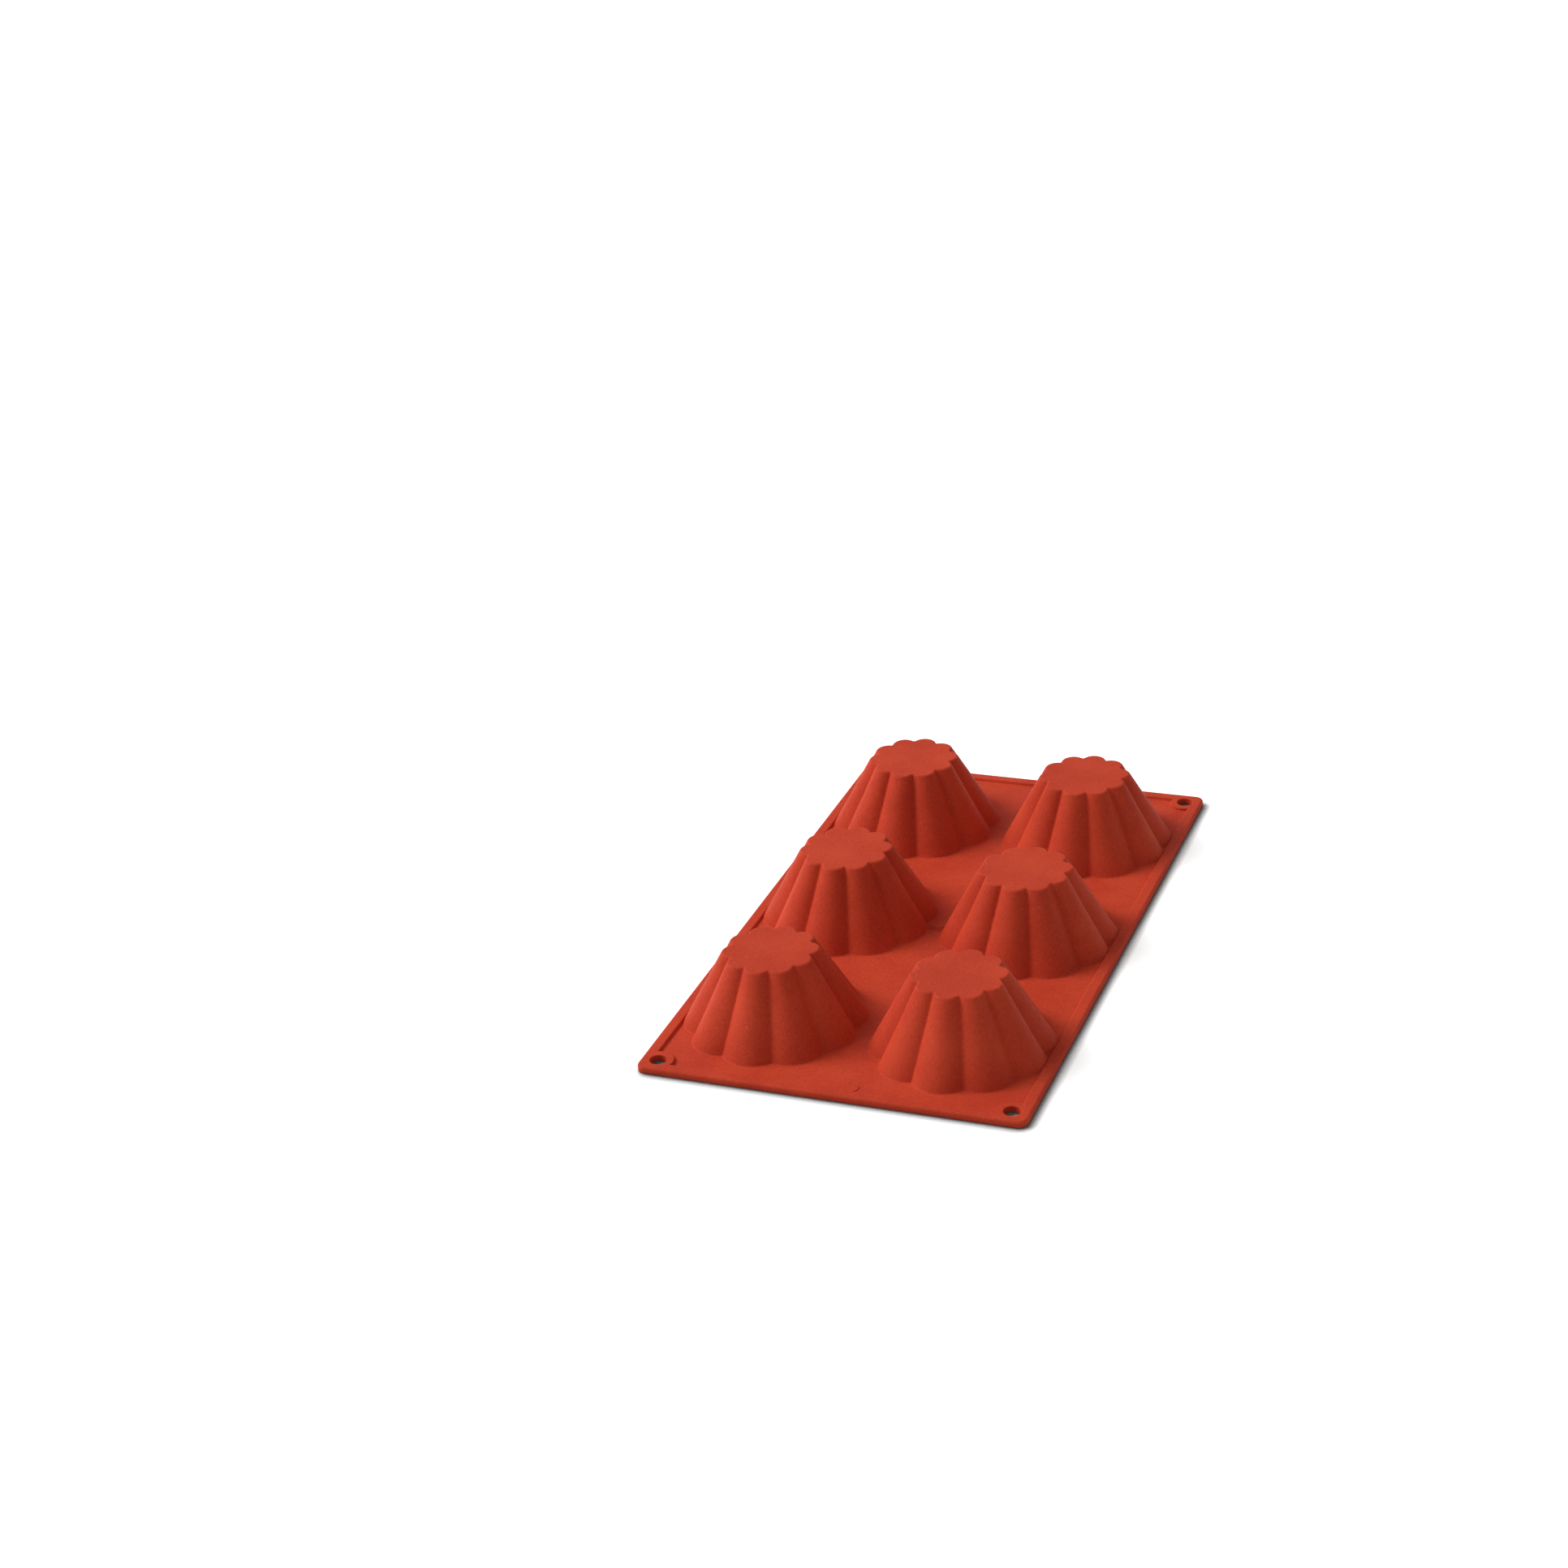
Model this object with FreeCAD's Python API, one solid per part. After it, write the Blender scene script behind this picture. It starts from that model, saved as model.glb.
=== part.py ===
import FreeCAD, Part
import math
import os

# A brioche mould for six small fluted cakes, pressed from silicone rubber in one piece.
# It lies face down, as it is put to cool or to dry: the pouring face is on z = 0 and the
# closed ends of the cups stand up. X runs along the rows of cups, Y runs across the rows,
# and the origin is the middle of the pouring face. Sizes are in millimetres.

Vector = FreeCAD.Vector

# Cavity of one cup. Its outline is a ring of round flutes. A crest is the outermost point of
# a flute, and a notch is the innermost point between two flutes. Each flute is an arc that
# turns by FLUTE_HALF_TURN on either side of its crest, at every height.
FLUTE_COUNT = 10
FLUTE_HALF_TURN = math.radians(59)
MOUTH_CREST_R = 39.5
FLOOR_CREST_R = 19.7
CAVITY_DEPTH = 35.0

# Thickness of the rubber.
CUP_WALL = 2.3
CUP_FLOOR = 2.0
PLATE_THICKNESS = 2.0

# Roundings of the fluted cup: in the notches, and along its edges.
NOTCH_ROUND_R = 0.9
END_EDGE_R = 1.4
FLOOR_EDGE_R = 1.0
FOOT_FILLET_R = 1.0
LIP_R = 1.0

# Flats that stand for each arc. They keep their direction from the foot of a cup to its
# closed end, so every one of them is a true plane.
FLUTE_FLAT_COUNT = 6
NOTCH_FLAT_COUNT = 2
EDGE_FLAT_COUNT = 2
INNER_EDGE_FLAT_COUNT = 1

# Layout of the cups, from mouth crest to mouth crest and from there to the plate's edges.
CUPS_ALONG = 3
CUPS_ACROSS = 2
GAP_ALONG = 17.0
GAP_ACROSS = 7.0
END_MARGIN = 14.5
SIDE_MARGIN = 5.0

# Plate, with a stiffening band round its edge on the side of the cups. The corners are
# tight, and small flats take off the edges of the band and of the pouring face.
PLATE_CORNER_R = 4.0
RIM_WIDTH = 5.5
RIM_RISE = 1.3
RIM_EDGE = 0.7
BASE_EDGE = 0.4

# Hanging holes in the corners, each in a round boss as high as the band.
HOLE_R = 3.7
HOLE_INSET_X = 7.5
HOLE_INSET_Y = 8.0
BOSS_R = 7.0

# Low marks on the side of the cups: a round button of two steps in the middle and a bare
# pad at one end. Each step is as high as the pad.
MARK_RISE = 0.3
BUTTON_R = 5.3
BUTTON_STEP_R = 3.8
PAD_LENGTH = 23.0
PAD_WIDTH = 6.0
PAD_INSET = 9.0

# How far a cutting tool runs past the face that it starts from, and how close two heights
# are that count as one.
OVERRUN = 1.0
SAME_HEIGHT = 0.001

PITCH_X = 2 * MOUTH_CREST_R + GAP_ALONG
PITCH_Y = 2 * MOUTH_CREST_R + GAP_ACROSS
PLATE_LENGTH = (CUPS_ALONG - 1) * PITCH_X + 2 * (MOUTH_CREST_R + END_MARGIN)
PLATE_WIDTH = (CUPS_ACROSS - 1) * PITCH_Y + 2 * (MOUTH_CREST_R + SIDE_MARGIN)
RIM_TOP = PLATE_THICKNESS + RIM_RISE
CUP_TOP = CAVITY_DEPTH + CUP_FLOOR


def polar(radius, angle, z):
    return Vector(radius * math.cos(angle), radius * math.sin(angle), z)


def arc_points(centre, radius, start_angle, turn, flats):
    """Points along an arc, without its last one, which the next arc starts from."""
    angles = [start_angle + turn * step / flats for step in range(flats)]
    return [centre + polar(radius, angle, 0) for angle in angles]


def fluted_outline(crest_r, z):
    """Points of the ring of flutes, which small arcs join with a common tangent."""
    half_pitch = math.pi / FLUTE_COUNT
    spread = math.sin(FLUTE_HALF_TURN) / math.tan(half_pitch) - math.cos(FLUTE_HALF_TURN)
    flute_r = (crest_r - NOTCH_ROUND_R * spread) / (1 + spread)
    flute_centre_r = crest_r - flute_r
    reach = flute_r + NOTCH_ROUND_R
    round_centre_r = reach * math.sin(FLUTE_HALF_TURN) / math.sin(half_pitch)
    notch_turn = 2 * (FLUTE_HALF_TURN - half_pitch)

    points = []
    for index in range(FLUTE_COUNT):
        crest = 2 * half_pitch * index
        flute_centre = polar(flute_centre_r, crest, z)
        start = crest - FLUTE_HALF_TURN
        points += arc_points(flute_centre, flute_r, start, 2 * FLUTE_HALF_TURN, FLUTE_FLAT_COUNT)
        round_centre = polar(round_centre_r, crest + half_pitch, z)
        back = crest + FLUTE_HALF_TURN + math.pi
        points += arc_points(round_centre, NOTCH_ROUND_R, back, -notch_turn, NOTCH_FLAT_COUNT)
    return points


SLOPE = (MOUTH_CREST_R - FLOOR_CREST_R) / CAVITY_DEPTH
LEVEL_WALL = CUP_WALL * math.sqrt(1 + SLOPE ** 2)


def cavity_crest_r(z):
    return MOUTH_CREST_R - SLOPE * z


def edge_stations(radius, flats):
    """Rounding between the sloping wall and a level face, as (height, offset) from its centre.

    The height is measured from the level of the rounding's centre towards the level face.
    The offset is measured level, from the straight wall, away from the side with the centre.
    """
    lean = math.atan(SLOPE)
    stations = []
    for step in range(flats + 1):
        angle = lean + (math.pi / 2 - lean) * step / flats
        rise = radius * math.sin(angle)
        offset = radius / math.cos(lean) - radius * math.cos(angle) - SLOPE * rise
        stations.append((rise, offset))
    return stations


def fluted_solid(level_offset, foot, flare, end):
    """Fluted cone that is parallel to the cavity and larger by level_offset.

    flare and end are roundings, each given as the level of its face, its radius and its
    number of flats. The cone flares out to the first, and runs straight from there to foot.
    """
    flare_z, flare_r, flare_flats = flare
    end_z, end_r, end_flats = end
    levels = [(foot, flare_z, edge_stations(flare_r, flare_flats)[-1][1])]
    for rise, offset in reversed(edge_stations(flare_r, flare_flats)):
        z = flare_z + flare_r - rise
        levels.append((z, z, offset))
    for rise, offset in edge_stations(end_r, end_flats):
        z = end_z - end_r + rise
        levels.append((z, z, -offset))
    rings = []
    for z, wall_z, offset in levels:
        rings.append(fluted_outline(cavity_crest_r(wall_z) + level_offset + offset, z))
    return stacked_solid(rings)


def stacked_solid(rings):
    """Closed solid between the first and the last of a stack of level outlines."""
    faces = [Part.Face(Part.makePolygon(ring + ring[:1])) for ring in (rings[0], rings[-1])]
    for below, above in zip(rings, rings[1:]):
        for index in range(len(below)):
            after = (index + 1) % len(below)
            corners = [below[index], below[after], above[after], above[index], below[index]]
            faces.append(Part.Face(Part.makePolygon(corners)))
    shell = Part.makeShell(faces)
    shell.sewShape()
    return Part.makeSolid(shell)


def cup_outside():
    """Outside of one cup, from the pouring face to its closed end."""
    flare = (PLATE_THICKNESS, FOOT_FILLET_R, INNER_EDGE_FLAT_COUNT)
    end = (CUP_TOP, END_EDGE_R, EDGE_FLAT_COUNT)
    return fluted_solid(LEVEL_WALL, 0, flare, end)


def cup_cavity():
    """Inside of one cup as a solid that runs out through the pouring face."""
    lip = (0, LIP_R, EDGE_FLAT_COUNT)
    end = (CAVITY_DEPTH, FLOOR_EDGE_R, INNER_EDGE_FLAT_COUNT)
    return fluted_solid(0, -OVERRUN, lip, end)


def cup_places():
    places = []
    for column in range(CUPS_ALONG):
        for row in range(CUPS_ACROSS):
            x = (column - (CUPS_ALONG - 1) / 2) * PITCH_X
            y = (row - (CUPS_ACROSS - 1) / 2) * PITCH_Y
            places.append(Vector(x, y, 0))
    return places


def corner_places():
    x = PLATE_LENGTH / 2 - HOLE_INSET_X
    y = PLATE_WIDTH / 2 - HOLE_INSET_Y
    return [Vector(x * i, y * j, 0) for i in (-1, 1) for j in (-1, 1)]


def copies(shape, places):
    placed = []
    for place in places:
        copy = shape.copy()
        copy.translate(place)
        placed.append(copy)
    return placed


def slab(inset, z_low, z_high):
    """Block inset from the plate's outline. Its corners are round where they have room to be."""
    length = PLATE_LENGTH - 2 * inset
    width = PLATE_WIDTH - 2 * inset
    low_corner = Vector(-length / 2, -width / 2, z_low)
    block = Part.makeBox(length, width, z_high - z_low, low_corner)
    if inset >= PLATE_CORNER_R:
        return block
    upright = [edge for edge in block.Edges if edge.BoundBox.ZLength > SAME_HEIGHT]
    return block.makeFillet(PLATE_CORNER_R - inset, upright)


def level_edges(shape, z):
    """Edges that lie wholly at one height."""
    found = []
    for edge in shape.Edges:
        box = edge.BoundBox
        if abs(box.ZMin - z) < SAME_HEIGHT and abs(box.ZMax - z) < SAME_HEIGHT:
            found.append(edge)
    return found


def rim_band():
    """Raised band round the edge of the plate, with its edges taken off."""
    block = slab(0, 0, RIM_TOP)
    block = block.makeChamfer(BASE_EDGE, level_edges(block, 0))
    block = block.makeChamfer(RIM_EDGE, level_edges(block, RIM_TOP))
    bevel_foot = RIM_TOP - RIM_EDGE
    bevel = slab(RIM_WIDTH - RIM_EDGE, bevel_foot, RIM_TOP + OVERRUN)
    bevel = bevel.makeChamfer(RIM_EDGE, level_edges(bevel, bevel_foot))
    return block.cut([slab(RIM_WIDTH, -OVERRUN, RIM_TOP), bevel])


def hole_bosses():
    """Round bosses, which end inside the band where they meet it."""
    boss = Part.makeCylinder(BOSS_R, RIM_TOP)
    boss = boss.makeChamfer(RIM_EDGE, level_edges(boss, RIM_TOP))
    inside_band = slab(RIM_WIDTH / 2, 0, RIM_TOP)
    return [one.common(inside_band) for one in copies(boss, corner_places())]


def centre_button():
    """Low round button with a smaller step on it."""
    lower = Part.makeCylinder(BUTTON_R, PLATE_THICKNESS + MARK_RISE)
    return lower.fuse(Part.makeCylinder(BUTTON_STEP_R, PLATE_THICKNESS + 2 * MARK_RISE))


def end_pad():
    """Low bare pad with round ends, across the plate near its -X end."""
    straight = PAD_LENGTH - PAD_WIDTH
    height = PLATE_THICKNESS + MARK_RISE
    middle_x = -PLATE_LENGTH / 2 + PAD_INSET
    low_corner = Vector(middle_x - PAD_WIDTH / 2, -straight / 2, 0)
    pad = Part.makeBox(PAD_WIDTH, straight, height, low_corner)
    ends = [Vector(middle_x, side * straight / 2, 0) for side in (-1, 1)]
    return pad.multiFuse(copies(Part.makeCylinder(PAD_WIDTH / 2, height), ends))


def brioche_mould():
    web = slab(RIM_WIDTH / 2, 0, PLATE_THICKNESS)
    added = [rim_band(), centre_button(), end_pad()] + hole_bosses()
    added += copies(cup_outside(), cup_places())
    hole = Part.makeCylinder(HOLE_R, RIM_TOP + 2 * OVERRUN, Vector(0, 0, -OVERRUN))
    removed = copies(cup_cavity(), cup_places()) + copies(hole, corner_places())
    return web.multiFuse(added).cut(removed).removeSplitter()


os.makedirs("parts", exist_ok=True)
mould = brioche_mould()
mould.exportStep("parts/brioche_mould.step")
size = mould.BoundBox
print("solids", len(mould.Solids), "valid", mould.isValid(), "faces", len(mould.Faces))
print("size", round(size.XLength, 3), round(size.YLength, 3), round(size.ZLength, 3))
print("volume", round(mould.Volume, 1))
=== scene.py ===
# %% [markdown]
# A silicone mould for six fluted brioches, lying face down.
# The real thing is one piece of rubber: a plate, a stiffening band round its edge, four
# corner bosses with hanging holes, and six tapered cups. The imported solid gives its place
# and size. It is replaced here by one finer shell, because on soft rubber the eye looks
# for round flutes, soft edges and the change from matt to glossy.

# %% The frame
import math

import bmesh
import bpy
from mathutils import Matrix, Vector


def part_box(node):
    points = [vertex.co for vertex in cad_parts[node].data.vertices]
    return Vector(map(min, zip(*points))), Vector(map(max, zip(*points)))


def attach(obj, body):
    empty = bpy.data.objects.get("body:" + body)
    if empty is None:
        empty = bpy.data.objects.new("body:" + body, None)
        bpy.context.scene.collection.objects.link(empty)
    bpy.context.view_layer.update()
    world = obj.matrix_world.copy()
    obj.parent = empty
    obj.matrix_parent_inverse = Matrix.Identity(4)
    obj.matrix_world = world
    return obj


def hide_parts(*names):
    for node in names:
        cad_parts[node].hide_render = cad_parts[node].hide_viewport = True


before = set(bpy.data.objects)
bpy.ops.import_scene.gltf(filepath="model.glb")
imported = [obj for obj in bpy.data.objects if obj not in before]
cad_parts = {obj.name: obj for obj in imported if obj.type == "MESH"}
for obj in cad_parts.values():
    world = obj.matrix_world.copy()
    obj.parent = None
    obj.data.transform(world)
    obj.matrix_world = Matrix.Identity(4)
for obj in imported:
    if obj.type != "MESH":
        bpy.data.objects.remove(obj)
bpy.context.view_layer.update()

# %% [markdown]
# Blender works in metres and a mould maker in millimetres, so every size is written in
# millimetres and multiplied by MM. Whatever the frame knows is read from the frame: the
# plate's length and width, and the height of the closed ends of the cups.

MM = 0.001
NODE = "brioche_mould"

low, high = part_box(NODE)
PLATE_LENGTH = high.x - low.x
PLATE_WIDTH = high.y - low.y
CUP_TOP = high.z
print("plate", round(PLATE_LENGTH / MM, 2), "x", round(PLATE_WIDTH / MM, 2), "mm")
print("height", round(CUP_TOP / MM, 2), "mm")

# %% [markdown]
# The cups stand on a grid of three by two. The plate ends 14.5 mm past the mouths of the
# end cups and 5 mm past those of the side cups, so the two pitches follow from its size.

# %% Where the cups and the holes are
CUPS_ALONG = 3
CUPS_ACROSS = 2
MOUTH_CREST_R = 39.5 * MM
END_MARGIN = 14.5 * MM
SIDE_MARGIN = 5 * MM
HOLE_INSET_X = 7.5 * MM
HOLE_INSET_Y = 8 * MM

PITCH_X = (PLATE_LENGTH - 2 * (MOUTH_CREST_R + END_MARGIN)) / (CUPS_ALONG - 1)
PITCH_Y = (PLATE_WIDTH - 2 * (MOUTH_CREST_R + SIDE_MARGIN)) / (CUPS_ACROSS - 1)


def cup_places():
    columns = [(column - (CUPS_ALONG - 1) / 2) * PITCH_X for column in range(CUPS_ALONG)]
    rows = [(row - (CUPS_ACROSS - 1) / 2) * PITCH_Y for row in range(CUPS_ACROSS)]
    return [Vector((x, y, 0)) for x in columns for y in rows]


def corner_places():
    x = PLATE_LENGTH / 2 - HOLE_INSET_X
    y = PLATE_WIDTH / 2 - HOLE_INSET_Y
    return [Vector((x * i, y * j, 0)) for i in (-1, 1) for j in (-1, 1)]


print("cups", len(cup_places()))
print("pitch", round(PITCH_X / MM, 2), "x", round(PITCH_Y / MM, 2), "mm")

# %% [markdown]
# The heart of the shape is the fluted outline: ten round flutes, joined in the notches by
# small arcs that share their tangent. A flute turns by some angle on each side of its
# crest. A larger turn makes deeper notches, and on the real cup they are deeper, for
# their size, at the closed end than at the foot. One function gives a point of that
# outline from its step number, so every level of a cup has its points in the same order.

# %% One point of the fluted outline
FLUTE_COUNT = 10
FLUTE_STEPS = 14
NOTCH_STEPS = 5
NOTCH_ROUND_R = 0.8 * MM
FOOT_HALF_TURN = math.radians(52)
END_HALF_TURN = math.radians(67)

STEPS_A_FLUTE = FLUTE_STEPS + NOTCH_STEPS
STEPS_ROUND = FLUTE_COUNT * STEPS_A_FLUTE
HALF_PITCH = math.pi / FLUTE_COUNT


def polar(radius, angle):
    return Vector((radius * math.cos(angle), radius * math.sin(angle), 0))


def outline_point(step, crest_r, half_turn):
    """Point number step of the outline whose crests are crest_r from the axis."""
    spread = math.sin(half_turn) / math.tan(HALF_PITCH) - math.cos(half_turn)
    flute_r = (crest_r - NOTCH_ROUND_R * spread) / (1 + spread)
    flute, place = divmod(step, STEPS_A_FLUTE)
    crest = 2 * HALF_PITCH * flute
    if place < FLUTE_STEPS:
        turn = half_turn * (2 * place / FLUTE_STEPS - 1)
        return polar(crest_r - flute_r, crest) + polar(flute_r, crest + turn)
    centre_r = (flute_r + NOTCH_ROUND_R) * math.sin(half_turn) / math.sin(HALF_PITCH)
    turn = 2 * (half_turn - HALF_PITCH) * (place - FLUTE_STEPS) / NOTCH_STEPS
    facing = crest + half_turn + math.pi - turn
    return polar(centre_r, crest + HALF_PITCH) + polar(NOTCH_ROUND_R, facing)


print("points in an outline", STEPS_ROUND)

# %% [markdown]
# A cup could be lofted from curves, but an extruded ring is easier to control. A circle
# is made once, each of its points remembers its step in a custom layer, and each
# extrusion copies that layer with the points. So a new level only has to be told its
# height and its crest radius. The closed end gets its round edge from the bevel operator.

# %% A fluted solid, level by level
FLOOR_CREST_R = 19.7 * MM
CAVITY_DEPTH = 35 * MM
SLOPE = (MOUTH_CREST_R - FLOOR_CREST_R) / CAVITY_DEPTH
LEAN = math.atan(SLOPE)
END_STEPS = 5


def half_turn_at(z):
    share = min(max(z / CUP_TOP, 0), 1)
    return FOOT_HALF_TURN + (END_HALF_TURN - FOOT_HALF_TURN) * share


def only(kind, geometry):
    return [item for item in geometry if isinstance(item, kind)]


def fluted_solid(levels, end_r):
    """Closed solid through levels of (height, crest radius), with a round last edge."""
    bm = bmesh.new()
    steps = bm.verts.layers.int.new("step")
    ring = bmesh.ops.create_circle(bm, cap_ends=True, segments=STEPS_ROUND, radius=1)["verts"]
    for step, vert in enumerate(ring):
        vert[steps] = step
    verts, edges = ring, bm.edges[:]
    for number, (z, crest_r) in enumerate(levels):
        if number > 0:
            grown = bmesh.ops.extrude_edge_only(bm, edges=edges)["geom"]
            verts = only(bmesh.types.BMVert, grown)
            edges = only(bmesh.types.BMEdge, grown)
        for vert in verts:
            vert.co = outline_point(vert[steps], crest_r, half_turn_at(z)) + Vector((0, 0, z))
    bmesh.ops.edgeloop_fill(bm, edges=edges)
    offset = end_r * math.tan((math.pi / 2 - LEAN) / 2)
    bmesh.ops.bevel(bm, geom=edges, offset=offset, offset_type="OFFSET", segments=END_STEPS,
                    profile=0.5, affect="EDGES", material=-1)
    bmesh.ops.recalc_face_normals(bm, faces=bm.faces)
    return bm


print("walls lean", round(math.degrees(LEAN), 1), "degrees")

# %% [markdown]
# The foot of a cup flows into the plate, and the mouth of a cavity has a soft lip. Both
# are an arc of a small circle between a level face and the leaning wall. The bevel
# operator would run into itself there, inside the narrow notches, so these levels are
# worked out. The widest of them lies a hair below the face, because solids that share a
# plane are hard to join cleanly.

# %% The levels of a cup
FLARE_STEPS = 5
WALL_STEPS = 6
HAIR = 0.01 * MM


def cup_levels(face_z, crest_r, flare_r, sunk, end_z):
    """Levels from below a face, round a flare and up the wall.

    crest_r is the crest radius that the straight wall would have at face_z.
    """
    levels = []
    for step in range(FLARE_STEPS + 1):
        angle = math.pi / 2 + (LEAN - math.pi / 2) * step / FLARE_STEPS
        rise = flare_r * (1 - math.sin(angle))
        out = (flare_r / math.cos(LEAN) - flare_r * math.cos(angle)
               - SLOPE * flare_r * math.sin(angle))
        levels.append((face_z + rise, crest_r - SLOPE * rise + out))
    widest = levels[0][1]
    levels[0] = (face_z - HAIR, widest)
    levels.insert(0, (face_z - sunk, widest))
    wall_z = levels[-1][0]
    for step in range(1, WALL_STEPS + 1):
        z = wall_z + (end_z - wall_z) * step / WALL_STEPS
        levels.append((z, crest_r - SLOPE * (z - face_z)))
    return levels


print("levels in a cup", 2 + FLARE_STEPS + WALL_STEPS)

# %% [markdown]
# Outside and cavity are two fluted solids, one wall apart. The outside starts inside the
# plate, and the cavity is a tool that starts below the pouring face and cuts through it.

# %% Outside and cavity of one cup
CUP_WALL = 2.3 * MM
PLATE_THICKNESS = 2 * MM
RIM_RISE = 1.3 * MM
RIM_TOP = PLATE_THICKNESS + RIM_RISE
FOOT_FILLET_R = 1 * MM
LIP_R = 1.3 * MM
END_EDGE_R = 1.4 * MM
FLOOR_EDGE_R = 1.4 * MM
SUNK = 1.5 * MM


def cup_outside():
    crest_r = MOUTH_CREST_R + CUP_WALL / math.cos(LEAN) - SLOPE * PLATE_THICKNESS
    levels = cup_levels(PLATE_THICKNESS, crest_r, FOOT_FILLET_R, SUNK, CUP_TOP)
    return fluted_solid(levels, END_EDGE_R)


def cup_cavity():
    levels = cup_levels(0, MOUTH_CREST_R, LIP_R, SUNK, CAVITY_DEPTH)
    return fluted_solid(levels, FLOOR_EDGE_R)


print("cup faces", len(cup_outside().faces))

# %% [markdown]
# Round things on an upright axis are spun from half a section: a corner boss, the low
# button in the middle of the plate, and the tool that cuts a hanging hole. The tool is
# wider at both faces, so the hole has soft edges. Each section starts and ends on the
# axis. The spin ends on its start, so use_merge joins the two ends.

# %% Spun solids
SPIN_STEPS = 48
ARC_STEPS = 4


def arc(centre_r, centre_z, radius, start, end):
    """Section points round an arc, from the start angle to the end angle in degrees."""
    points = []
    for step in range(ARC_STEPS + 1):
        angle = math.radians(start + (end - start) * step / ARC_STEPS)
        points.append((centre_r + radius * math.cos(angle), centre_z + radius * math.sin(angle)))
    return points


def spun_solid(section):
    """Solid of revolution from a section that starts and ends on the axis."""
    bm = bmesh.new()
    verts = [bm.verts.new((radius, 0, z)) for radius, z in section]
    edges = [bm.edges.new(pair) for pair in zip(verts, verts[1:])]
    bmesh.ops.spin(bm, geom=verts + edges, cent=(0, 0, 0), axis=(0, 0, 1), angle=2 * math.pi,
                   steps=SPIN_STEPS, use_merge=True)
    bmesh.ops.remove_doubles(bm, verts=bm.verts, dist=HAIR / 10)
    bmesh.ops.recalc_face_normals(bm, faces=bm.faces)
    return bm


print("a spun ring has", SPIN_STEPS, "steps, and a small arc", ARC_STEPS)

# %% [markdown]
# A boss is as high as the band and melts into it, so the part of it that would reach
# past the middle of the band is cut off by two planes before the solids are joined. An arc
# that runs into a face stops a few degrees before it is level, so that the solids share
# no plane there either.

# %% Boss, button and hole
RIM_WIDTH = 5.5 * MM
BOSS_EDGE_R = 0.5 * MM
RIM_FOOT_R = 0.45 * MM
HOLE_R = 3.7 * MM
HOLE_EDGE_R = 0.4 * MM
BOSS_R = 7 * MM
BUTTON_R = 5.3 * MM
BUTTON_STEP_R = 3.8 * MM
MARK_RISE = 0.3 * MM
MARK_EDGE_R = 0.1 * MM
SHORT_OF_LEVEL = 5


def boss(place):
    low_z = PLATE_THICKNESS - SUNK
    foot = arc(BOSS_R + RIM_FOOT_R, PLATE_THICKNESS + RIM_FOOT_R, RIM_FOOT_R,
               270 - SHORT_OF_LEVEL, 180)
    edge = arc(BOSS_R - BOSS_EDGE_R, RIM_TOP - BOSS_EDGE_R, BOSS_EDGE_R, 0, 90)
    bm = spun_solid([(0, low_z), (foot[0][0], low_z)] + foot + edge + [(0, RIM_TOP)])
    bmesh.ops.translate(bm, verts=bm.verts, vec=place)
    inset = RIM_WIDTH / 2
    for normal, reach in ((Vector((1, 0, 0)), PLATE_LENGTH),
                          (Vector((0, 1, 0)), PLATE_WIDTH)):
        outward = normal if place.dot(normal) > 0 else -normal
        cut = bmesh.ops.bisect_plane(bm, geom=bm.verts[:] + bm.edges[:] + bm.faces[:],
                                     plane_co=outward * (reach / 2 - inset), plane_no=outward,
                                     clear_outer=True)["geom_cut"]
        bmesh.ops.edgeloop_fill(bm, edges=only(bmesh.types.BMEdge, cut))
    bmesh.ops.recalc_face_normals(bm, faces=bm.faces)
    return bm


def centre_button():
    """Low round button with a smaller step on it."""
    low_z = PLATE_THICKNESS - SUNK
    step_z = PLATE_THICKNESS + MARK_RISE
    top_z = step_z + MARK_RISE
    lower = arc(BUTTON_R - MARK_EDGE_R, step_z - MARK_EDGE_R, MARK_EDGE_R, 0, 90)
    upper = arc(BUTTON_STEP_R - MARK_EDGE_R, top_z - MARK_EDGE_R, MARK_EDGE_R, 0, 90)
    below = [(0, low_z), (BUTTON_R, low_z)]
    return spun_solid(below + lower + [(BUTTON_STEP_R, step_z)] + upper + [(0, top_z)])


def hole_tool():
    wide = HOLE_R + HOLE_EDGE_R
    lower = arc(wide, HOLE_EDGE_R, HOLE_EDGE_R, 270 - SHORT_OF_LEVEL, 180)
    upper = arc(wide, RIM_TOP - HOLE_EDGE_R, HOLE_EDGE_R, 180, 90 + SHORT_OF_LEVEL)
    below = [(0, -SUNK), (lower[0][0], -SUNK)]
    above = [(upper[-1][0], RIM_TOP + SUNK), (0, RIM_TOP + SUNK)]
    return spun_solid(below + lower + upper + above)


print("boss faces", len(boss(corner_places()[0]).faces))
print("hole tool faces", len(hole_tool().faces))

# %% [markdown]
# The plate starts as a cube. An inset of its top gives the band's width, a bevel of the
# four upright edges gives the tight corners, and a second inset with no width pushes the
# web down by the band's height. The inset comes before the corners, because the band is
# wider than the corners are round. The edges that meet at an angle are found at their
# height, and one bevel for each softens them. The low pad is made the same way.

# %% Plate and pad
CORNER_R = 4 * MM
CORNER_STEPS = 8
RIM_EDGE_R = 1.1 * MM
BASE_EDGE_R = 0.5 * MM
BAND_EDGE_R = 0.8 * MM
PAD_LENGTH = 23 * MM
PAD_WIDTH = 6 * MM
PAD_INSET = 9 * MM
CORNER_ANGLE = math.radians(40)
FACES_UP = 0.5


def soften(bm, edges, radius, steps):
    bmesh.ops.bevel(bm, geom=edges, offset=radius, offset_type="OFFSET", segments=steps,
                    profile=0.5, affect="EDGES", material=-1)


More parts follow.
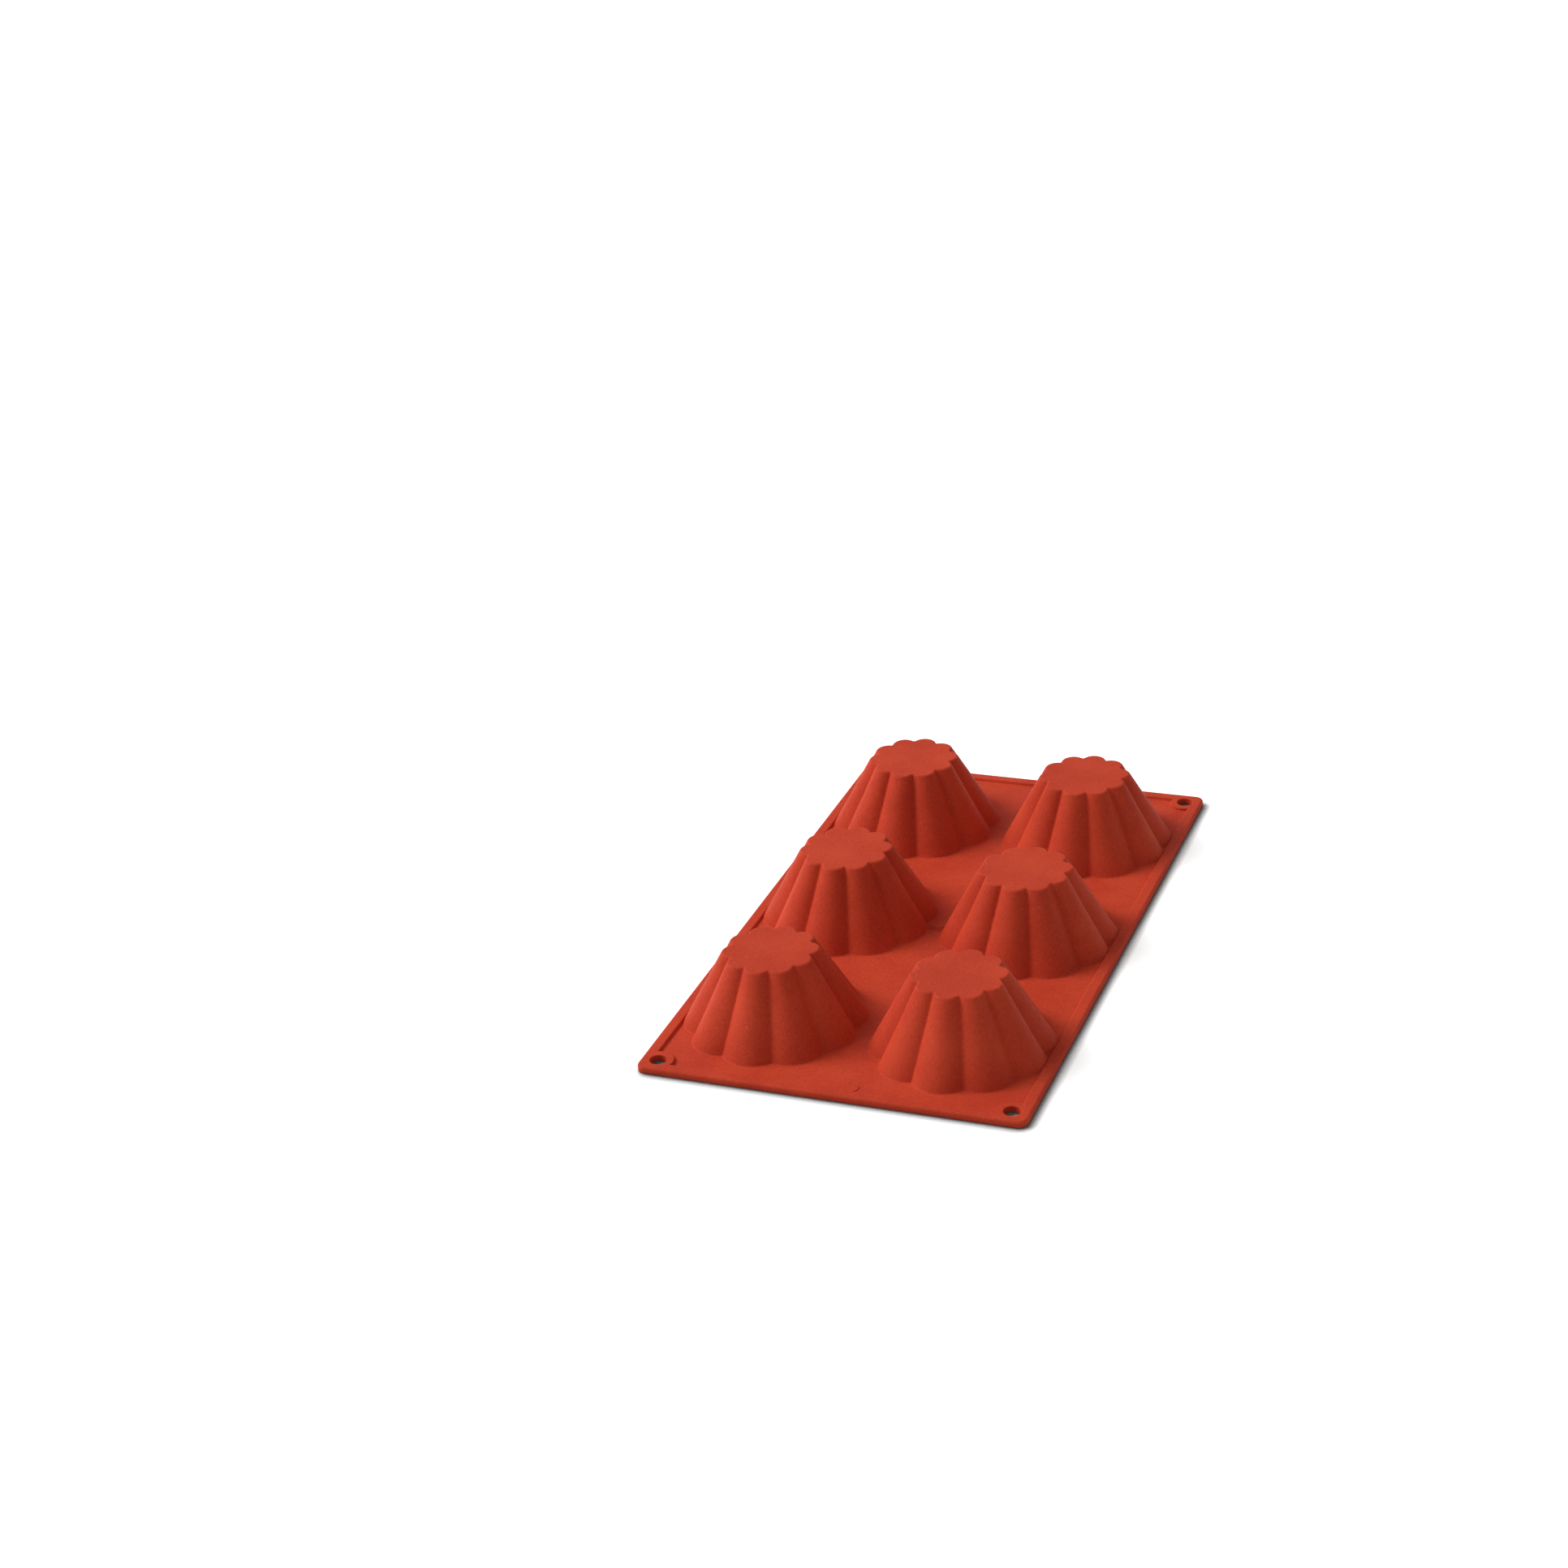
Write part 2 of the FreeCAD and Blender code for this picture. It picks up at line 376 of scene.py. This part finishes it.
def corner_ring(bm, z):
    """Edges at height z whose two faces meet at a corner."""
    level = [edge for edge in bm.edges
             if all(abs(vert.co.z - z) < HAIR for vert in edge.verts)]
    return [edge for edge in level if edge.calc_face_angle(0) > CORNER_ANGLE]


def upright_edges(bm):
    return [edge for edge in bm.edges
            if abs(edge.verts[0].co.z - edge.verts[1].co.z) > HAIR]


def block(length, width, low_z, high_z):
    bm = bmesh.new()
    bmesh.ops.create_cube(bm, size=1)
    bmesh.ops.scale(bm, verts=bm.verts, vec=(length, width, high_z - low_z))
    bmesh.ops.translate(bm, verts=bm.verts, vec=(0, 0, (low_z + high_z) / 2))
    return bm


def plate():
    bm = block(PLATE_LENGTH, PLATE_WIDTH, 0, RIM_TOP)
    web = [face for face in bm.faces if face.normal.z > FACES_UP]
    bmesh.ops.inset_region(bm, faces=web, thickness=RIM_WIDTH, use_even_offset=True)
    soften(bm, upright_edges(bm), CORNER_R, CORNER_STEPS)
    soften(bm, corner_ring(bm, RIM_TOP), RIM_EDGE_R, ARC_STEPS)
    soften(bm, corner_ring(bm, 0), BASE_EDGE_R, ARC_STEPS)
    bmesh.ops.inset_region(bm, faces=web, thickness=0, depth=-RIM_RISE)
    soften(bm, corner_ring(bm, RIM_TOP), BAND_EDGE_R, ARC_STEPS)
    soften(bm, corner_ring(bm, PLATE_THICKNESS), RIM_FOOT_R, ARC_STEPS)
    bmesh.ops.recalc_face_normals(bm, faces=bm.faces)
    return bm


def end_pad():
    top_z = PLATE_THICKNESS + MARK_RISE
    bm = block(PAD_WIDTH, PAD_LENGTH, PLATE_THICKNESS - SUNK, top_z)
    soften(bm, upright_edges(bm), PAD_WIDTH / 2 - HAIR, CORNER_STEPS)
    soften(bm, corner_ring(bm, top_z), MARK_EDGE_R, ARC_STEPS)
    bmesh.ops.translate(bm, verts=bm.verts, vec=(PAD_INSET - PLATE_LENGTH / 2, 0, 0))
    return bm


trial = plate()
print("plate faces", len(trial.faces))
print("open edges", sum(1 for edge in trial.edges if not edge.is_manifold))
print("pad faces", len(end_pad().faces))

# %% [markdown]
# Colours are written as they are seen, as sRGB hex values, and one function turns them
# into the linear values that a shader works with. One small function adds a node, sets
# its inputs and joins its links, so a material reads as a short list. A mix node has the
# same names for its number, vector and colour sockets, so those for colours are called by
# their place in the node's list.

# %% Colour and node helpers
MIX_FACTOR = 0
MIX_FIRST = 6
MIX_SECOND = 7
MIX_RESULT = 2


def linear(hex_colour):
    """Linear RGBA of an sRGB hex colour, by the curve of the sRGB standard."""
    shares = [int(hex_colour[place:place + 2], 16) / 255 for place in (1, 3, 5)]
    channels = [share / 12.92 if share <= 0.04045 else ((share + 0.055) / 1.055) ** 2.4
                for share in shares]
    return (*channels, 1)


def add(tree, kind, settings=None, links=None, **properties):
    """A new node. settings fills its inputs, links joins them, properties are its own."""
    node = tree.nodes.new(kind)
    for name, value in properties.items():
        setattr(node, name, value)
    for name, value in (settings or {}).items():
        node.inputs[name].default_value = value
    for name, source in (links or {}).items():
        tree.links.new(source, node.inputs[name])
    return node


def new_material(name):
    material = bpy.data.materials.new(name)
    material.use_nodes = True
    material.node_tree.nodes.clear()
    return material


print("mid grey #808080 is", round(linear("#808080")[0], 3), "in linear light")

# %% [markdown]
# Silicone bakeware is a filled, pigmented silicone rubber, pressed between hot steel. It
# copies the steel: the outside comes from a blasted half and is matt and velvety, with a
# fine grain and a few pale specks of dust, the pouring face is smooth and dull, and the
# cavities come from polished cores and shine. The rubber is the same, so one function
# makes all three, from the roughness, the share of light that the surface mirrors, the
# size and depth of the grain, and the strength of the specks. Its refractive index is
# 1.41. The real grain is taken to be about 0.3 mm wide. It is drawn four times as wide,
# because it would be lost between the picture's points. The cores leave no grain, only
# faint, broad waves. Pigmented rubber lets a little light through its edges, so a small
# share of subsurface light keeps the shaded flutes warm.

# %% Silicone rubber in three finishes
RUBBER_LIT = "#C6462C"
RUBBER_DEEP = "#B83B25"
SPECK = "#D87863"
SILICONE_IOR = 1.41
CLOUD = 28 * MM
GRAIN = 1.2 * MM
POLISH_WAVE = 6 * MM
MOTTLE_SHARE = 0.45
TONE_NOISE = {"Detail": 3, "Roughness": 0.6}
TONE_ENDS = (0.4, 0.6)
GRAIN_NOISE = {"Detail": 2, "Roughness": 0.7}
SPECK_GRID = 9 * MM
SPECK_CORE = 0.02
SPECK_EDGE = 0.07
DIFFUSE_ROUGHNESS = 0.3
SUBSURFACE_SHARE = 0.08
SUBSURFACE_RADIUS = (1, 0.22, 0.12)
SUBSURFACE_DEPTH = 1.2 * MM


def rubber_tone(tree, place):
    """Colour of the pigmented rubber: broad clouds, and in them the mottle of the grain."""
    clouds = add(tree, "ShaderNodeTexNoise", {"Scale": 1 / CLOUD, **TONE_NOISE},
                 {"Vector": place})
    mottle = add(tree, "ShaderNodeTexNoise", {"Scale": 1 / GRAIN, **TONE_NOISE},
                 {"Vector": place})
    blend = add(tree, "ShaderNodeMix", {"Factor": MOTTLE_SHARE},
                {"A": clouds.outputs["Fac"], "B": mottle.outputs["Fac"]})
    tone = add(tree, "ShaderNodeValToRGB", links={"Fac": blend.outputs["Result"]})
    deep, lit = tone.color_ramp.elements
    deep.position, lit.position = TONE_ENDS
    deep.color, lit.color = linear(RUBBER_DEEP), linear(RUBBER_LIT)
    return tone.outputs["Color"]


def silicone(name, roughness, mirror, depth, speck_share, grain=GRAIN):
    material = new_material(name)
    tree = material.node_tree
    place = add(tree, "ShaderNodeTexCoord").outputs["Object"]
    speck = add(tree, "ShaderNodeTexVoronoi", {"Scale": 1 / SPECK_GRID}, {"Vector": place})
    near = add(tree, "ShaderNodeMapRange",
               {"From Min": SPECK_CORE, "From Max": SPECK_EDGE,
                "To Min": speck_share, "To Max": 0},
               {"Value": speck.outputs["Distance"]})
    colour = add(tree, "ShaderNodeMix", {MIX_SECOND: linear(SPECK)},
                 {MIX_FACTOR: near.outputs["Result"], MIX_FIRST: rubber_tone(tree, place)},
                 data_type="RGBA")
    fine = add(tree, "ShaderNodeTexNoise", {"Scale": 1 / grain, **GRAIN_NOISE},
               {"Vector": place})
    bump = add(tree, "ShaderNodeBump", {"Strength": 1, "Distance": depth},
               {"Height": fine.outputs["Fac"]})
    shader = add(tree, "ShaderNodeBsdfPrincipled",
                 {"Roughness": roughness, "IOR": SILICONE_IOR, "Specular IOR Level": mirror,
                  "Diffuse Roughness": DIFFUSE_ROUGHNESS,
                  "Subsurface Weight": SUBSURFACE_SHARE,
                  "Subsurface Radius": SUBSURFACE_RADIUS,
                  "Subsurface Scale": SUBSURFACE_DEPTH},
                 {"Base Color": colour.outputs[MIX_RESULT], "Normal": bump.outputs["Normal"]})
    add(tree, "ShaderNodeOutputMaterial", links={"Surface": shader.outputs["BSDF"]})
    return material


MATT = silicone("blasted_silicone_rubber", roughness=0.6, mirror=0.1,
                depth=0.06 * MM, speck_share=0.35)
SATIN = silicone("smooth_silicone_rubber", roughness=0.42, mirror=0.3,
                 depth=0.015 * MM, speck_share=0.3)
GLOSSY = silicone("polished_silicone_rubber", roughness=0.16, mirror=0.5,
                  depth=0.02 * MM, speck_share=0, grain=POLISH_WAVE)
print("finishes", MATT.name, SATIN.name, GLOSSY.name)

# %% [markdown]
# The solids become one shell by two Boolean modifiers: a union adds cups, bosses and
# marks to the plate, and a difference cuts cavities and holes. A tool hands its finish to
# the faces that it cuts, as a polished steel core does, so only the pouring face has to
# be told apart afterwards. Weighted normals keep the level faces flat beside the fillets.

# %% One shell
SMOOTH_ANGLE = math.radians(38)


def to_mesh(name, bm, finish):
    mesh = bpy.data.meshes.new(name)
    for face in bm.faces:
        face.smooth = True
    bm.to_mesh(mesh)
    bm.free()
    mesh.materials.append(finish)
    return mesh


def repeated(name, solid, places, finish):
    """Mesh with a copy of the solid at every place."""
    original = solid.verts[:] + solid.edges[:] + solid.faces[:]
    for place in places[1:]:
        copy = bmesh.ops.duplicate(solid, geom=original)["geom"]
        bmesh.ops.translate(solid, verts=only(bmesh.types.BMVert, copy), vec=place)
    bmesh.ops.translate(solid, verts=only(bmesh.types.BMVert, original), vec=places[0])
    return to_mesh(name, solid, finish)


def as_tools(name, meshes):
    """A hidden collection of tool objects for a Boolean modifier."""
    collection = bpy.data.collections.new(name)
    for mesh in meshes:
        collection.objects.link(bpy.data.objects.new(mesh.name, mesh))
    return collection


added = [repeated("cup_outsides", cup_outside(), cup_places(), MATT)]
for number, place in enumerate(corner_places()):
    added.append(to_mesh("boss_" + str(number), boss(place), MATT))
added += [to_mesh("button", centre_button(), MATT), to_mesh("pad", end_pad(), MATT)]
removed = [repeated("cup_cavities", cup_cavity(), cup_places(), GLOSSY)]
removed += [repeated("hole_tools", hole_tool(), corner_places(), MATT)]

blank = bpy.data.objects.new("blank", to_mesh("blank", plate(), MATT))
bpy.context.scene.collection.objects.link(blank)
for operation, meshes in (("UNION", added), ("DIFFERENCE", removed)):
    modifier = blank.modifiers.new(operation, "BOOLEAN")
    modifier.operation = operation
    modifier.solver = "EXACT"
    modifier.operand_type = "COLLECTION"
    modifier.collection = as_tools(operation, meshes)
    modifier.material_mode = "TRANSFER"
depsgraph = bpy.context.evaluated_depsgraph_get()
joined = bpy.data.meshes.new_from_object(blank.evaluated_get(depsgraph))
print("joined faces", len(joined.polygons))
print("finishes", [finish.name for finish in joined.materials])

# %% [markdown]
# The joined mesh is checked as a mould maker would check a casting: it has to be closed.
# Then the pouring face gets its own finish, and the normals are weighted by face size.

# %% The finished mould
FACES_DOWN = -0.99


def is_pouring_face(face):
    return abs(face.calc_center_median().z) < HAIR and face.normal.z < FACES_DOWN


shell = bmesh.new()
shell.from_mesh(joined)
bmesh.ops.remove_doubles(shell, verts=shell.verts, dist=HAIR / 100)
joined.materials.append(SATIN)
for face in shell.faces:
    face.smooth = True
    if is_pouring_face(face):
        face.material_index = len(joined.materials) - 1
print("open edges", sum(1 for edge in shell.edges if not edge.is_manifold))
print("volume", round(shell.calc_volume() / MM ** 3 / 1000, 1), "cm3")
shell.to_mesh(joined)
shell.free()
joined.set_sharp_from_angle(angle=SMOOTH_ANGLE)
bpy.data.objects.remove(blank)

mould = bpy.data.objects.new("silicone_mould", joined)
bpy.context.scene.collection.objects.link(mould)
weighted = mould.modifiers.new("weighted_normals", "WEIGHTED_NORMAL")
weighted.keep_sharp = True
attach(mould, "root")
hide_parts(NODE)
print("triangles", sum(len(polygon.vertices) - 2 for polygon in joined.polygons))

# %% [markdown]
# The floor is a plain white sheet. A glow that only the camera and mirrors see lifts it to
# an even white, and grows slowly with the distance to the plate, because less of the lamp
# arrives there. What is left is a narrow dark shadow under the plate's edge and in the holes.
# Part of it is the lamp's own shadow, and the rest is painted shade: an ambient occlusion node,
# which feels for rubber within a few millimetres, darkens the paper's colour and its glow there.
# Its rays lean one way, so the painted shadow falls on the opposite sides of the mould. The pale
# world fills the shaded flutes, and gives the white behind everything.

# %% Floor and world
FLOOR_SIZE = 8
FLOOR_WHITE = "#FAFAFA"
NEAR_GLOW = 0.38
FAR_GLOW = 0.65
FAR_GLOW_FULL = 900 * MM
CONTACT_REACH = 5 * MM
CONTACT_RAYS = 4
CONTACT_LEAN = (0.5, 0.5, 0.7)
CONTACT_HIDDEN = 0.5
CONTACT_OPEN = 0.93
CONTACT_SHADE = 0.06
AMBIENT = 0.38


def seen(tree):
    """1 for rays from the camera, from a mirror or through glass, and 0 for the rest."""
    path = add(tree, "ShaderNodeLightPath").outputs
    one_of_two = add(tree, "ShaderNodeMath", operation="MAXIMUM",
                     links={0: path["Is Camera Ray"], 1: path["Is Glossy Ray"]})
    one_of_three = add(tree, "ShaderNodeMath", operation="MAXIMUM",
                       links={0: one_of_two.outputs[0], 1: path["Is Transmission Ray"]})
    return one_of_three.outputs[0]


def from_plate(tree):
    """Distance from the plate's outline, and 0 under the plate."""
    place = add(tree, "ShaderNodeTexCoord").outputs["Object"]
    across = add(tree, "ShaderNodeVectorMath", links={0: place}, operation="ABSOLUTE")
    past = add(tree, "ShaderNodeVectorMath", {1: (PLATE_LENGTH / 2, PLATE_WIDTH / 2, 0)},
               {0: across.outputs[0]}, operation="SUBTRACT")
    outside = add(tree, "ShaderNodeVectorMath", {1: (0, 0, 0)}, {0: past.outputs[0]},
                  operation="MAXIMUM")
    length = add(tree, "ShaderNodeVectorMath", links={0: outside.outputs[0]},
                 operation="LENGTH")
    return length.outputs["Value"]


# Painted shadow: this value darkens the floor's colour and glow beside the mould, with no lamp
# behind it.
def contact_shade(tree):
    """1 on open floor, and CONTACT_SHADE where the mould stands over it on the leaning side."""
    lean = add(tree, "ShaderNodeCombineXYZ", dict(zip("XYZ", CONTACT_LEAN)))
    open_share = add(tree, "ShaderNodeAmbientOcclusion", {"Distance": CONTACT_REACH},
                     {"Normal": lean.outputs["Vector"]}, samples=CONTACT_RAYS)
    shade = add(tree, "ShaderNodeMapRange",
                {"From Min": CONTACT_HIDDEN, "From Max": CONTACT_OPEN,
                 "To Min": CONTACT_SHADE},
                {"Value": open_share.outputs["AO"]})
    return shade.outputs["Result"]


def white_sheet():
    material = new_material("matt_white_paper")
    tree = material.node_tree
    # The contact shade is a painted shadow, multiplied into the paper's colour and into its
    # glow.
    shade = contact_shade(tree)
    colour = add(tree, "ShaderNodeMix",
                 {MIX_FIRST: (0, 0, 0, 1), MIX_SECOND: linear(FLOOR_WHITE)},
                 {MIX_FACTOR: shade}, data_type="RGBA")
    paper = add(tree, "ShaderNodeBsdfDiffuse", links={"Color": colour.outputs[MIX_RESULT]})
    glow = add(tree, "ShaderNodeMapRange",
               {"From Max": FAR_GLOW_FULL, "To Min": NEAR_GLOW, "To Max": FAR_GLOW},
               {"Value": from_plate(tree)})
    shaded = add(tree, "ShaderNodeMath", links={0: shade, 1: glow.outputs[0]},
                 operation="MULTIPLY")
    shown = add(tree, "ShaderNodeMath", links={0: seen(tree), 1: shaded.outputs[0]},
                operation="MULTIPLY")
    light = add(tree, "ShaderNodeEmission", links={"Strength": shown.outputs[0]})
    both = add(tree, "ShaderNodeAddShader", links={0: paper.outputs[0], 1: light.outputs[0]})
    add(tree, "ShaderNodeOutputMaterial", links={"Surface": both.outputs[0]})
    return material


def floor_object():
    bm = bmesh.new()
    bmesh.ops.create_grid(bm, x_segments=1, y_segments=1, size=FLOOR_SIZE / 2)
    mesh = to_mesh("floor", bm, white_sheet())
    return bpy.data.objects.new("floor", mesh)


floor = floor_object()
bpy.context.scene.collection.objects.link(floor)

world = bpy.data.worlds.new("pale_studio")
world.use_nodes = True
air = world.node_tree
air.nodes.clear()
strength = add(air, "ShaderNodeMapRange", {"To Min": AMBIENT, "To Max": 1},
               {"Value": seen(air)})
sky = add(air, "ShaderNodeBackground", {"Color": (1, 1, 1, 1)},
          {"Strength": strength.outputs["Result"]})
add(air, "ShaderNodeOutputWorld", links={"Surface": sky.outputs[0]})
bpy.context.scene.world = world
print("floor", FLOOR_SIZE, "m, ambient", AMBIENT)

# %% [markdown]
# The camera stands about where the photograph was taken from. It was fitted to straight
# edges of the plate, with the plate's size put in. Its place is worked out from the floor
# point in the middle of the picture, the distance to it, and three angles. The frame is
# square, and the lens is given for a 36 mm sensor.

# %% Camera
AIM = Vector((122.7, 123.9, 0)) * MM
CAMERA_DISTANCE = 1531.8 * MM
CAMERA_HEADING = math.radians(23.15)
CAMERA_ELEVATION = math.radians(26.53)
CAMERA_ROLL = math.radians(-4.635)
SENSOR = 36
LENS = 69.2

ahead = Vector((math.cos(CAMERA_HEADING) * math.cos(CAMERA_ELEVATION),
                math.sin(CAMERA_HEADING) * math.cos(CAMERA_ELEVATION),
                -math.sin(CAMERA_ELEVATION)))
camera = bpy.data.objects.new("camera", bpy.data.cameras.new("camera"))
camera.data.sensor_width = SENSOR
camera.data.lens = LENS
turn = ahead.to_track_quat("-Z", "Y").to_matrix() @ Matrix.Rotation(CAMERA_ROLL, 3, "Z")
camera.matrix_world = Matrix.Translation(AIM - ahead * CAMERA_DISTANCE) @ turn.to_4x4()
bpy.context.scene.collection.objects.link(camera)
bpy.context.scene.camera = camera
print("camera at", [round(value / MM) for value in camera.matrix_world.translation], "mm")

# %% [markdown]
# One large soft lamp stands on the left of the picture, as a big window would. It is high
# enough for the cups to throw only short shadows, and low enough to make the flutes that
# face it brighter than the plate. Its power is set so that, with the pale world, a colour
# on the plate renders about as it is written. The standard view keeps it so.

# %% Lamp and view
KEY_HEADING = math.radians(94)
KEY_ELEVATION = math.radians(43)
KEY_DISTANCE = 3.2
KEY_SIZE = 1.6
KEY_POWER = 102


def soft_lamp(name, heading, elevation, distance, size, power):
    """Square lamp, placed round the mould and turned towards it."""
    lamp = bpy.data.objects.new(name, bpy.data.lights.new(name, "AREA"))
    lamp.data.shape = "SQUARE"
    lamp.data.size = size
    lamp.data.energy = power
    away = Vector((math.cos(heading) * math.cos(elevation),
                   math.sin(heading) * math.cos(elevation),
                   math.sin(elevation)))
    lamp.location = away * distance
    lamp.rotation_euler = (-away).to_track_quat("-Z", "Y").to_euler()
    bpy.context.scene.collection.objects.link(lamp)
    return lamp


soft_lamp("key", KEY_HEADING, KEY_ELEVATION, KEY_DISTANCE, KEY_SIZE, KEY_POWER)
bpy.context.scene.view_settings.view_transform = "Standard"
print("key lamp", KEY_POWER, "W at", KEY_DISTANCE, "m")
